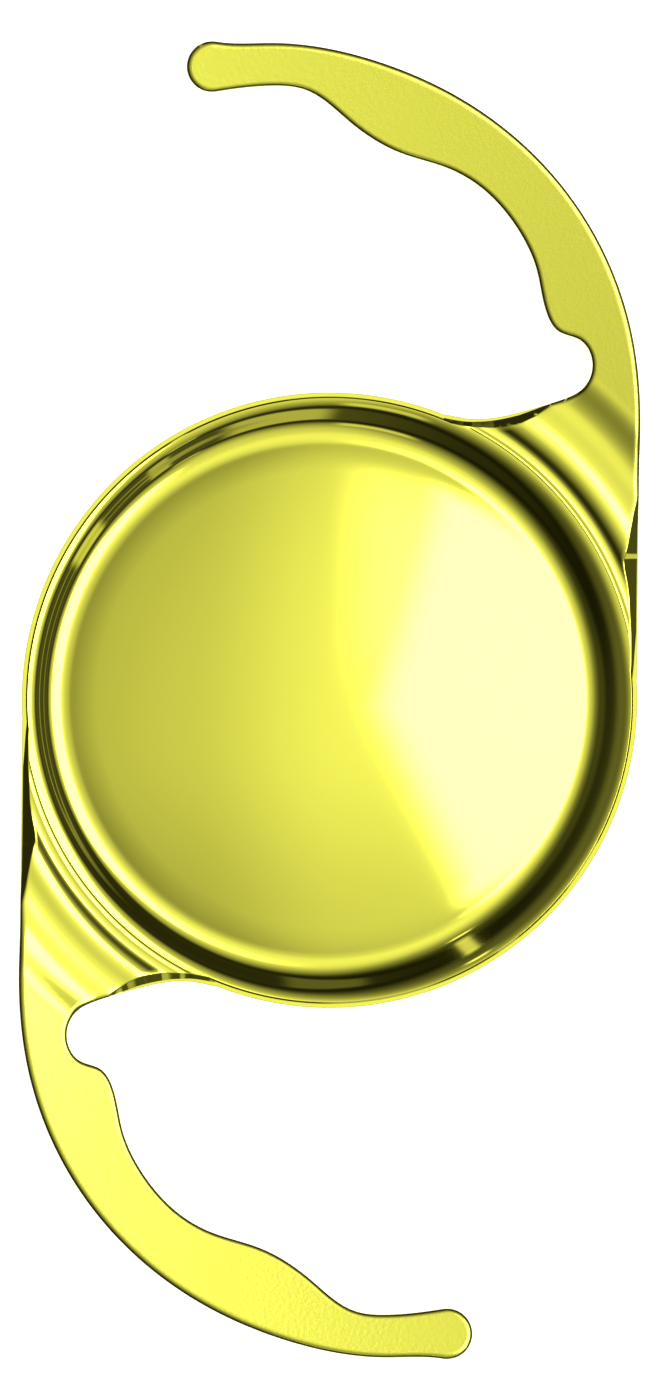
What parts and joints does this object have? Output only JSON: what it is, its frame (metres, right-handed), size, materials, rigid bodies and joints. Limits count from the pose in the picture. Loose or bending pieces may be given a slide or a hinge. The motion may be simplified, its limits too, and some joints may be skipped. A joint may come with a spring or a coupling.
{
  "type": "intraocular lens",
  "caption": "Foldable one-piece intraocular lens: a round biconvex optic with a turned ring near its rim and two curved, open-ended arms that centre it in the eye.",
  "frame": {"origin": "posterior apex of the optic, on the optical axis, at the lowest point of the lens", "axes": "+Z along the optical axis to the anterior side, +Y towards the tip of the arm that leaves the optic on the +X side"},
  "size_m": [0.006, 0.0128, 0.001],
  "materials": {
    "acrylic": "polished optic, satin arms"
  },
  "bodies": {
    "root": {"lens_body": "acrylic"}
  },
  "joints": []
}
